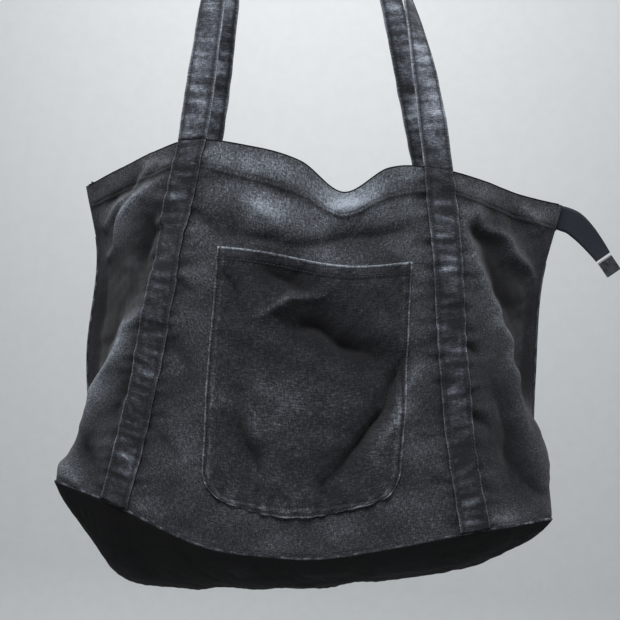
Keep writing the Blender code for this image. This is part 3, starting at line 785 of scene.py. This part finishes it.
def dense_ends(count, gather):
    """Even steps from 0 to 1, drawn together at both ends."""
    f = np.linspace(0, 1, count)
    return f - gather * np.sin(2 * math.pi * f) / (2 * math.pi)


def add_walls():
    u = np.linspace(-1, 1, 300)
    v = np.concatenate([np.linspace(0, 0.1, 40)[:-1], np.linspace(0.1, 1, 150)])
    for name, side in SIDES:
        def place(s, t, side=side):
            _, wear_and_shade = relief(side, s, t)
            return on_wall(side, s, t, 0 * s - DENIM / 2), wear_and_shade

        cloth, sizes = add_cloth(name + "_cloth", "denim", "bag", u, v, place, DENIM, [name + "_panel"],
                                 flip=side == FRONT)
        declare(cloth, sizes)


def base_point(p, q):
    """A patch between the walls' lower edges, let down in the middle as cloth hangs."""
    one = 1 + 0 * p

    def edge(side, p):
        return flat_point(side, p * CORNER_COLUMN, one)

    def end(sign, q):
        column = sign * (1 + (CORNER_COLUMN - 1) * np.abs(q))
        point = flat_point(FRONT, column, one)
        point[..., 1] *= -np.sign(q)
        return point

    f, g = ((p + 1) / 2)[..., None], ((q + 1) / 2)[..., None]
    long_way = edge(FRONT, p) * (1 - g) + edge(BACK, p) * g
    short_way = end(-1, q) * (1 - f) + end(1, q) * f
    corners = (
        (edge(FRONT, -one) * (1 - f) + edge(FRONT, one) * f) * (1 - g)
        + (edge(BACK, -one) * (1 - f) + edge(BACK, one) * f) * g
    )
    point = long_way + short_way - corners
    low = edge(FRONT, 0 * p)[..., 2]
    sag = BASE_SAG + BASE_LEVEL * (point[..., 2] - low) - BASE_TILT * (point[..., 0] - BODY_X)
    sag = sag + BASE_LEFT_FALL * bump(p, -0.62, 0.28)
    slack = (1 - np.abs(p) ** 5) * (1 - np.abs(q) ** 1.6)
    point[..., 2] -= sag * slack + BASE_DROP
    x, y = (point[..., 0] - BODY_X) / MM, point[..., 1] / MM
    height = 1.8 * ripple(x, y * 1.3, 80, 41) + 0.8 * ripple(x, y, 26, 42) + 0.4 * ripple(x, y, 10, 43)
    tuck = 2 * np.sin((np.abs(x) - 150) / 11) * smooth(np.abs(p), 0.62, 0.85)
    height = (height + tuck) * smooth(np.abs(q), 1.0, 0.8) * smooth(np.abs(p), 1.0, 0.93)
    point[..., 2] -= height * MM
    point[..., 1] += np.sign(q) * np.abs(q) ** 2 * height * 0.6 * MM
    # Lighter on the base's crests and darker in its hollows: partly wear, partly painted highlight and
    # painted shade.
    return point, np.clip(0.40 + height / 14, 0, 1)


def add_base():
    base, sizes = add_cloth(
        "base_cloth", "denim_base", "bag", np.linspace(-1, 1, 220), np.linspace(-1, 1, 90), base_point, DENIM,
        ["base_panel"],
    )
    declare(base, sizes)


def zip_level_row(s):
    """The row where a wall is just above the zip."""
    t = 0.1 + 0 * s
    for _ in range(10):
        here = -HANDLE_RISE - wall_value("drop", s, t) * MM
        slope = (wall_value("drop", s, t + 0.01) - wall_value("drop", s, t)) / 0.01 * MM
        t = np.clip(t + (here - ZIP_Z - 2 * MM) / slope, 0.02, 0.4)
    return t


def add_facings():
    for name, side in SIDES:
        def place(s, v, side=side):
            t = 0.006 + v * (zip_level_row(s) - 0.006)
            _, wear_and_shade = relief(side, s, t)
            return on_wall(side, s, t, 0 * s - DENIM - LAYER_GAP - DENIM / 2), wear_and_shade * 0.8

        u = np.linspace(-0.90, 0.90, 160)
        cloth, sizes = add_cloth(name + "_facing_cloth", "denim", "bag", u, np.linspace(0, 1, 24), place,
                                 0.8 * DENIM, [name + "_facing"])
        declare(cloth, sizes)


def seam_line(side, s, t, offset):
    return on_wall(side, s, t, offset + 0 * s), flat_normal(side, s, t)


def add_seams():
    """The mouth's folded lip, the side seams, and the worn ridge of the base seam."""
    for name, side in SIDES:
        s = np.linspace(-0.985, 0.985, 320)
        line, normal = seam_line(side, s, 0 * s, -DENIM / 2)
        # The lip takes the base's darker copy of the denim, which carries painted shade.
        add_cording(name + "_mouth_lip", "denim_base", "bag", line, normal, 0.8 * MM, 1.0 * MM, 0.45)
        p = np.linspace(-1, 1, 300)
        line, normal = seam_line(side, p * CORNER_COLUMN, 1 + 0 * p, -0.2 * MM)
        add_cording(name + "_base_seam", "denim", "bag", line, normal, 1.3 * MM, 1.2 * MM, 0.42)
        hem_row = (HEM_DEPTH - 3 * MM) / WALL_HEIGHT + 0 * s
        rows = [seam_line(side, s * 0.97, hem_row, 0.15 * MM)]
        rows.append(seam_line(side, p * CORNER_COLUMN * 0.99, 0.984 + 0 * p, 0.15 * MM))
        add_stitches(name + "_hem_stitches", "bag", rows)
    for name, sign in HANDS:
        t = np.linspace(0.16, 1.0, 120)
        line = flat_point(FRONT, sign + 0 * t, t)
        line[:, 1] = 0
        normal = np.tile([sign, 0.0, 0.0], (len(t), 1))
        add_cording("side_seam_" + name, "denim", "bag", line, normal, 2.6 * MM, 1.3 * MM, 0.5)


# ---------------- straps


def band_frame(side, hand, t):
    """Centre, across and face of a strap's sewn run at each row."""
    s = hand * STRAP_COLUMN + 0 * t
    middle = wall_value("across", s, t) * MM
    left, right = column_at(middle - STRAP_HALF * 0.9, t), column_at(middle + STRAP_HALF * 0.9, t)
    offset = LAYER_GAP + STRAP_THICKNESS / 2 + 0 * t
    a, c, b = (on_wall(side, column, t, offset) for column in (left, s, right))
    across = unit(b - a)
    return (a + b + c) / 3, across, flat_normal(side, s, t)


def band_stitches(centre, across, face, both_faces=False):
    rows = []
    for edge in (-GROOVE, GROOVE):
        line = centre + across * (edge * STRAP_HALF)
        for sign in (1, -1) if both_faces else (1,):
            rows.append((line + face * sign * (STRAP_THICKNESS / 2 - 0.35 * MM), face * sign))
    return rows


def add_bands():
    for name, side in SIDES:
        for hand_name, hand in HANDS:
            t = np.linspace(0.0012, 0.994, 150)
            centre, across, face = band_frame(side, hand, t)
            frames = list(zip(centre, across, face))
            label = f"{name}_band_{hand_name}"
            band, sizes = add_strap(label + "_strap", "bag", frames, [label], 50 + 3 * side + hand, BAND_WEAR)
            declare(band, sizes)
            add_stitches(label + "_stitches", "bag", band_stitches(centre, across, face))


def find_handle_feet():
    """Where each half handle starts: centre, across and face of the top of the run it is sewn on from."""
    feet = {}
    for _, side in SIDES:
        for _, hand in HANDS:
            foot = band_frame(side, hand, np.array([0.0]))
            feet[side, hand] = tuple(Vector(part[0]) for part in foot)
    return feet


HANDLE_FEET = find_handle_feet()


def handle_line(side, hand, climb):
    """The middle line of half a handle, from the mouth (climb = 0) up to the level seat on the hook (1)."""
    foot = HANDLE_FEET[side, hand][0]
    end = Vector((hand * SEAT_HALF_LENGTH, side * HANDLE_TOP_Y, STRAP_THICKNESS / 2))
    if climb > SEAT_START:
        share = (climb - SEAT_START) / (1 - SEAT_START)
        return Vector((end.x * (1 - share), end.y, end.z))
    guide = Vector((HANDLE_GUIDE_X[side, hand] * MM + BODY_X, foot.y * HANDLE_LEAN, HANDLE_GUIDE_Z))
    shoulder = Vector((hand * HANDLE_SHOULDER, end.y, end.z))
    f = climb / SEAT_START
    return foot * (1 - f) ** 3 + guide * 3 * f * (1 - f) ** 2 + shoulder * 3 * f * f * (1 - f) + end * f**3


def handle_frame(side, f):
    """Centre, across and face of a handle: left foot (f = 0), over the hook (0.5), right foot (1)."""
    hand = -1 if f < 0.5 else 1
    climb = 1 - abs(2 * f - 1)
    lower, upper = max(climb - 0.004, 0), min(climb + 0.004, 1)
    tangent = (handle_line(side, hand, upper) - handle_line(side, hand, lower)).normalized()
    outward = Vector((0, 1, 0)).cross(tangent).normalized() * hand
    turned = min(climb / HANDLE_TURN_END[side, hand], 1)
    turn = math.pi / 2 * turned**1.4 * (1.4 - 0.4 * turned)
    face = Vector((0, -math.cos(turn), 0)) + outward * math.sin(turn)
    square = tangent.cross(face).normalized()
    _, foot_across, foot_face = HANDLE_FEET[side, hand]
    if square.dot(foot_across) < 0:
        square = -square
    share = min(climb / FOOT_END, 1)
    share = share * share * (3 - 2 * share)
    across = foot_across.lerp(square, share).normalized()
    facing = across.cross(tangent).normalized()
    if facing.dot(foot_face) < 0 and climb < 0.3:
        facing = -facing
    return handle_line(side, hand, climb), across, facing


def add_handles():
    for name, side in SIDES:
        frames = [list(handle_frame(side, i / (HANDLE_RINGS - 1))) for i in range(HANDLE_RINGS)]
        for before, here in zip(frames, frames[1:]):
            if before[1].dot(here[1]) < 0:
                here[1] = -here[1]
            if before[2].dot(here[2]) < 0:
                here[2] = -here[2]
        bend_start, bend_end = ((0, side * HANDLE_BEND_Y, z) for z in HANDLE_BEND_Z)
        strap, sizes = add_strap(name + "_handle_strap", None, frames, [name + "_handle"], 70 + side,
                                 HANDLE_WEAR)
        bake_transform(strap)
        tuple(bend_start)
        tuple(bend_end)
        declare(strap, sizes)
        centre, across, face = (np.array([f[i] for f in frames], float) for i in range(3))
        stitches = add_stitches(name + "_handle_stitches", None, band_stitches(centre, across, face, True))
        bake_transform(stitches)
        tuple(bend_start)
        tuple(bend_end)


# ---------------- pocket


def pocket_outline(u, v):
    """Body millimetres of a point of the pocket; u across from 0 to 1, v down from 0 at the mouth to 1."""
    flare = POCKET_FLARE * smooth(v, 0, 0.6)
    left, right = POCKET_LEFT - flare, POCKET_RIGHT + flare * 0.6
    middle, half = (left + right) / 2, (right - left) / 2
    a = 2 * u - 1
    straight_x = middle + a * half
    mouth = POCKET_TOP - POCKET_DIP * np.exp(-(((straight_x - POCKET_DIP_X) / 62) ** 2))
    foot = POCKET_FOOT - POCKET_FOOT_SAG * (1 - a * a) + POCKET_FOOT_TILT * straight_x
    z = mouth + v * (foot - mouth)
    into_corner = np.maximum(0, POCKET_CORNER - (z - foot))
    half = half - (POCKET_CORNER - np.sqrt(np.maximum(POCKET_CORNER**2 - into_corner**2, 0))) * 0.92
    return middle + a * half, z


def pocket_edge_distance(u, v):
    x, z = pocket_outline(u, v)
    left, _ = pocket_outline(0 * u, v)
    right, _ = pocket_outline(0 * u + 1, v)
    _, foot = pocket_outline(u, 0 * v + 1)
    return np.minimum(np.minimum(x - left, right - x), z - foot)


def pocket_surface(u, v, extra=0.0):
    x, z = pocket_outline(u, v)
    s, t = place_on_wall(x, z)
    d = pocket_edge_distance(u, v)
    _, mouth = pocket_outline(u, 0 * v)
    from_mouth = mouth - z
    inside = smooth(d, 0, 22)
    height = 0.8 * ripple(x, z, 26, 61) * inside
    pucker = 1.3 * ripple(x, z * 0.3, 10, 62) * np.exp(-d / 16) * smooth(v, 0.7, 0.93)
    pucker = pucker + 0.5 * ripple(x * 0.5, z, 10, 63) * np.exp(-d / 8)
    hem = 0.9 * (1 - smooth(d, 7, 9)) - 0.6 * bump(d, 3.2, 1.0) - 0.35 * bump(d, 8.6, 1.2)
    top_hem = 1.1 * (1 - smooth(from_mouth, 11, 13)) - 0.55 * bump(from_mouth, 10.5, 1.2)
    a = 2 * u - 1
    gape = POCKET_GAPE * (1 - a**4) * (1 - v) ** 1.2
    offset = LAYER_GAP + DENIM / 2 + gape + (height + pucker + hem + top_hem) * MM + extra
    _, wall_wear_and_shade = relief(FRONT, s, t)
    # Darker than the wall under it. Lighter on the ripples and puckers and darker between them, partly wear
    # and partly painted highlight and painted shade. Lighter along the folded edges, which is wear.
    wear_and_shade = 0.0 + 0.72 * wall_wear_and_shade + height / 30 + pucker / 9 + 0.36 * (1 - smooth(d, 0.6, 2.0))
    # Lighter on the mouth's folded edge, which is wear. Darker in the stitched groove along the sides and
    # foot: painted shade.
    wear_and_shade = wear_and_shade + 0.50 * (1 - smooth(from_mouth, 0.8, 2.6)) - 0.25 * bump(d, 3.2, 1.1)
    # Lighter on the raised side hems, which is wear. Darker under the gaping mouth: painted shade.
    wear_and_shade = wear_and_shade + 0.12 * bump(d, 6, 2.5) - 0.10 * bump(from_mouth, 22, 16)
    # Darker in the top hem's stitched groove: painted shade.
    wear_and_shade = wear_and_shade - 0.12 * bump(from_mouth, 10.5, 1.6)
    wear_and_shade = wear_and_shade + 0.05 * smooth(v, 0.35, 0.6)
    return on_wall(FRONT, s, t, offset), np.clip(wear_and_shade, 0, 1), flat_normal(FRONT, s, t)


def add_pocket():
    u, v = dense_ends(170, 0.5), dense_ends(190, 0.5)
    pocket, sizes = add_cloth("pocket_cloth", "denim", "bag", u, v, lambda a, b: pocket_surface(a, b)[:2],
                              DENIM, ["front_pocket"], flip=True)
    declare(pocket, sizes)
    f = np.linspace(0, 1, 400)
    inset = 3.2 / (POCKET_RIGHT - POCKET_LEFT)
    deep = 3.2 / (POCKET_TOP - POCKET_FOOT)
    rows = []
    for u_line, v_line in (
        (inset + 0 * f, f * (1 - deep)),
        (1 - inset + 0 * f, f * (1 - deep)),
        (inset + f * (1 - 2 * inset), 1 - deep + 0 * f),
        (0.01 + 0.98 * f, 10.5 / 240 + 0 * f),
    ):
        line, _, normal = pocket_surface(u_line, v_line, DENIM / 2)
        rows.append((line, normal))
    add_stitches("pocket_stitches", "bag", rows)


# ---------------- zip


def cut_slot(obj, rows, columns, slot_rows, slot_columns):
    """Takes these cells out of a grid's mesh, under its thickness. The slider's waist runs in the slot."""
    r, c = np.divmod(np.arange((rows - 1) * (columns - 1)), columns - 1)
    inside = np.isin(r, slot_rows) & np.isin(c, slot_columns)
    bm = bmesh.new()
    bm.from_mesh(obj.data)
    bm.faces.ensure_lookup_table()
    bmesh.ops.delete(bm, geom=[bm.faces[i] for i in np.flatnonzero(inside)], context="FACES")
    bm.to_mesh(obj.data)
    bm.free()


def add_tape(name, body, u, v, place, replaced):
    tape, sizes = add_cloth(
        name, "zip_tape", body, u, v, lambda a, b: (place(a, b), 0.5 + 0 * a), TAPE, replaced)
    declare(tape, sizes)
    return tape


def add_flaps():
    foot = ZIP_Z + TAPE / 2 + 0.3 * MM
    for name, side in SIDES:
        def place(u, v, side=side):
            x = u * FLAP_HALF_LENGTH
            t = zip_level_row(column_at(x, 0.15 + 0 * x))
            wall = on_wall(side, column_at(x, t), t, -2 * DENIM - LAYER_GAP + 0 * x)
            outer = np.abs(wall[..., 1]) - 1.5 * MM
            y = FLAP_INNER_Y + (1 - v) * (outer - FLAP_INNER_Y)
            calm = smooth(v, 1.0, 0.6)
            z = foot + DENIM / 2 + (0.7 + 0.7 * ripple(x / MM, y / MM, 26, 81 + side)) * calm * MM
            return np.stack([x + BODY_X, side * y, z], -1)

        def placed(u, v, place=place):
            return place(u, v), 0.45 + 0.12 * ripple(u * 160, v * 20, 24, 5)

        flap, sizes = add_cloth(name + "_flap_cloth", "denim", None, np.linspace(-1, 1, 120),
                                np.linspace(0, 1, 16), placed, DENIM, [name + "_zip_flap"])
        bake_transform(flap)
        declare(flap, sizes)

        def tape_place(u, v, side=side):
            y = TAPE_INNER_Y + v * (TAPE_OUTER_Y - TAPE_INNER_Y)
            return np.stack([u * FLAP_HALF_LENGTH + BODY_X, side * y, ZIP_Z + 0 * u], -1)

        add_tape("zip_tape_cloth_" + name, "flap_" + name, np.linspace(-1, 1, 90), np.linspace(0, 1, 6),
                 tape_place, ["zip_tape_" + name])
        y = side * (CHAIN_GAP + COIL_WIDTH / 2)
        add_helix("coil_" + name, "flap_" + name, BODY_X - FLAP_HALF_LENGTH, BODY_X + FLAP_HALF_LENGTH, y,
                  foot + COIL_HEIGHT / 2, ["zip_coil_" + name])


def end_frame(x):
    """Middle and width direction of the tape between its straight run and the side seam: it turns on edge."""
    turn = math.radians(88) * smooth(x, END_TWIST_START, END_TWIST_STOP)
    g = smooth(x, END_TWIST_START, WING_TIP_X)
    middle = np.stack([x, 0 * x, ZIP_Z + g * (WING_TIP_Z - ZIP_Z)], -1)
    return middle, np.stack([0 * x, np.cos(turn), np.sin(turn)], -1)


def add_zip_ends():
    start = FLAP_HALF_LENGTH + PARK_GAP
    foot = ZIP_Z + TAPE / 2 + 0.3 * MM
    for name, hand in HANDS:
        def place(u, v, hand=hand):
            tip = WING_TIP_X if hand > 0 else WING_TIP_X - LEFT_TIP_SHORT
            middle, wide = end_frame(start + (tip - start) * u)
            point = middle + wide * ((v - 0.5) * 2 * TAPE_OUTER_Y)[..., None]
            point[..., 0] = point[..., 0] * hand + BODY_X
            return point

        parked = PARK_SLOT / (WING_TIP_X - start)
        u = np.concatenate([np.linspace(0, parked, 14)[:-1], np.linspace(parked, 1, 46)])
        gap = TAPE_INNER_Y / TAPE_OUTER_Y / 2
        v = np.concatenate([np.linspace(0, 0.5 - gap, 5), np.linspace(0.5 + gap, 1, 5)])
        tape = add_tape("end_tape_" + name, "bag", u, v, place, ["zip_end_tape_" + name])
        cut_slot(tape, len(v), len(u), [4], range(13))
        x0, x1 = sorted((BODY_X + hand * start, BODY_X + hand * (start + PARK_LENGTH)))
        for row_name, side in SIDES:
            y = side * (CHAIN_GAP + COIL_WIDTH / 2)
            add_helix(f"end_coil_{name}_{row_name}", "bag", x0, x1, y, foot + COIL_HEIGHT / 2,
                      [f"zip_end_coil_{name}_{row_name}"])


def tail_frame(f):
    """Middle, direction and width of the loose tail, f from 0 at its root to 1 at the cap."""
    places = np.linspace(0, 1, len(TAIL_POINTS))
    root = np.array([TAIL_HINGE_X + BODY_X, 0, WING_TIP_Z])

    def middle(g):
        return root + np.stack([through(places, [p[k] for p in TAIL_POINTS], g) for k in range(3)], -1) * MM

    along = unit(middle(np.minimum(f + 0.01, 1)) - middle(np.maximum(f - 0.01, 0)))
    return middle(f), along, through(places, TAIL_WIDTHS, f) * MM


def add_tail():
    def place(u, v):
        middle, along, width = tail_frame(u * TAIL_SHARE)
        wide = unit(np.cross([0.0, 1.0, 0.0], along))
        point = middle + wide * ((v - 0.5) * width)[..., None]
        point[..., 1] += 0.9 * MM * np.sin(u * 5) * (v - 0.5)
        return point

    tape = add_tape("tail_tape", None, np.linspace(0, 1, 60), np.linspace(0, 1, 9), place,
                    ["zip_tail_tape"])
    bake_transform(tape)
    f = np.linspace(0.24, 0.98, TAIL_TURNS * 8)
    angle = f * TAIL_TURNS * 2 * math.pi
    for row_name, side in SIDES:
        middle, along, _ = tail_frame(f * TAIL_SHARE)
        wide = unit(np.cross([0.0, 1.0, 0.0], along))
        across = side * (CHAIN_GAP + COIL_WIDTH / 2) + np.cos(angle) * (COIL_WIDTH / 2 - COIL_WIRE)
        line = middle + wide * across[:, None]
        line[:, 1] += TAPE / 2 + 0.35 * MM + COIL_HEIGHT / 2 + np.sin(angle) * (COIL_HEIGHT / 2 - COIL_WIRE)
        add_wire("tail_coil_" + row_name, "tail", line, ["zip_tail_coil"] if side == FRONT else ())


def finish_metal():
    for name in ("zip_stop", "zip_slider", "puller_tab", "tail_end_cap", "tail_cap_screw"):
        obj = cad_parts[name]
        obj.data.materials.clear()
        obj.data.materials.append(MATERIALS["gunmetal"])
        bevel = obj.modifiers.new("edge", "BEVEL")
        bevel.width = 0.18 * MM
        bevel.segments = 2
        bevel.limit_method = "ANGLE"


# ---------------- camera, stage and light


def add_camera():
    data = bpy.data.cameras.new("camera")
    data.lens = CAMERA_LENS
    data.clip_start = 0.01
    camera = bpy.data.objects.new("camera", data)
    bpy.context.scene.collection.objects.link(camera)
    turn = (
        Matrix.Rotation(CAMERA_ROLL, 4, "Y")
        @ Matrix.Rotation(CAMERA_PITCH, 4, "X")
        @ Matrix.Rotation(CAMERA_YAW, 4, "Z")
    )
    look_along_y = Matrix.Rotation(math.pi / 2, 4, "X")
    camera.matrix_world = Matrix.Translation(CAMERA_PLACE) @ turn @ look_along_y
    bpy.context.scene.camera = camera


def add_stage():
    """A pale floor well below the bag and a pale wall behind it, joined by a round cove."""
    floor_z, wall_y, cove, front_y = -2.0, 1.75, 0.4, -3.2
    arc = [(wall_y - cove + cove * math.sin(a), floor_z + cove - cove * math.cos(a))
           for a in np.linspace(0, math.pi / 2, 24)]
    profile = [(front_y, floor_z), *arc, (wall_y, 2.0)]
    points = np.array([[(x, y, z) for x in (-4.0, 4.0)] for y, z in profile])
    mesh = mesh_from("floor_and_wall", points, grid_faces(len(profile), 2, flip=True))
    mesh.materials.append(stage_material("pale_paint", (0.74, 0.76, 0.765)))
    mesh.shade_smooth()
    obj = bpy.data.objects.new("floor_and_wall", mesh)
    bpy.context.scene.collection.objects.link(obj)


def add_light(name, place, target, size, power, colour):
    data = bpy.data.lights.new(name, "AREA")
    data.size = size
    data.energy = power
    data.color = colour
    obj = bpy.data.objects.new(name, data)
    bpy.context.scene.collection.objects.link(obj)
    obj.location = place
    obj.rotation_euler = (Vector(target) - Vector(place)).to_track_quat("-Z", "Y").to_euler()
    obj.visible_camera = False


def add_lights():
    add_light("overhead_front", (-0.15, -0.80, 0.80), (0.03, 0.0, -0.40), 0.8, 9, (0.98, 0.99, 1.0))
    add_light("high_front", (0.0, -1.3, 1.9), (0.0, 0.6, -0.4), 1.2, 64, (0.98, 0.99, 1.0))
    add_light("wall_wash", (-0.2, 0.30, 1.20), (-0.1, 1.75, -0.90), 1.2, 15, (0.98, 0.99, 1.0))
    world = bpy.data.worlds.new("studio")
    world.use_nodes = True
    world.node_tree.nodes["Background"].inputs["Color"].default_value = (0.95, 0.97, 1.0, 1)
    world.node_tree.nodes["Background"].inputs["Strength"].default_value = 0.13
    bpy.context.scene.world = world
    bpy.context.scene.view_settings.view_transform = "Standard"


add_camera()
add_stage()
add_lights()
add_walls()
add_base()
add_facings()
add_bands()
add_handles()
add_pocket()
add_seams()
add_flaps()
add_zip_ends()
add_tail()
finish_metal()
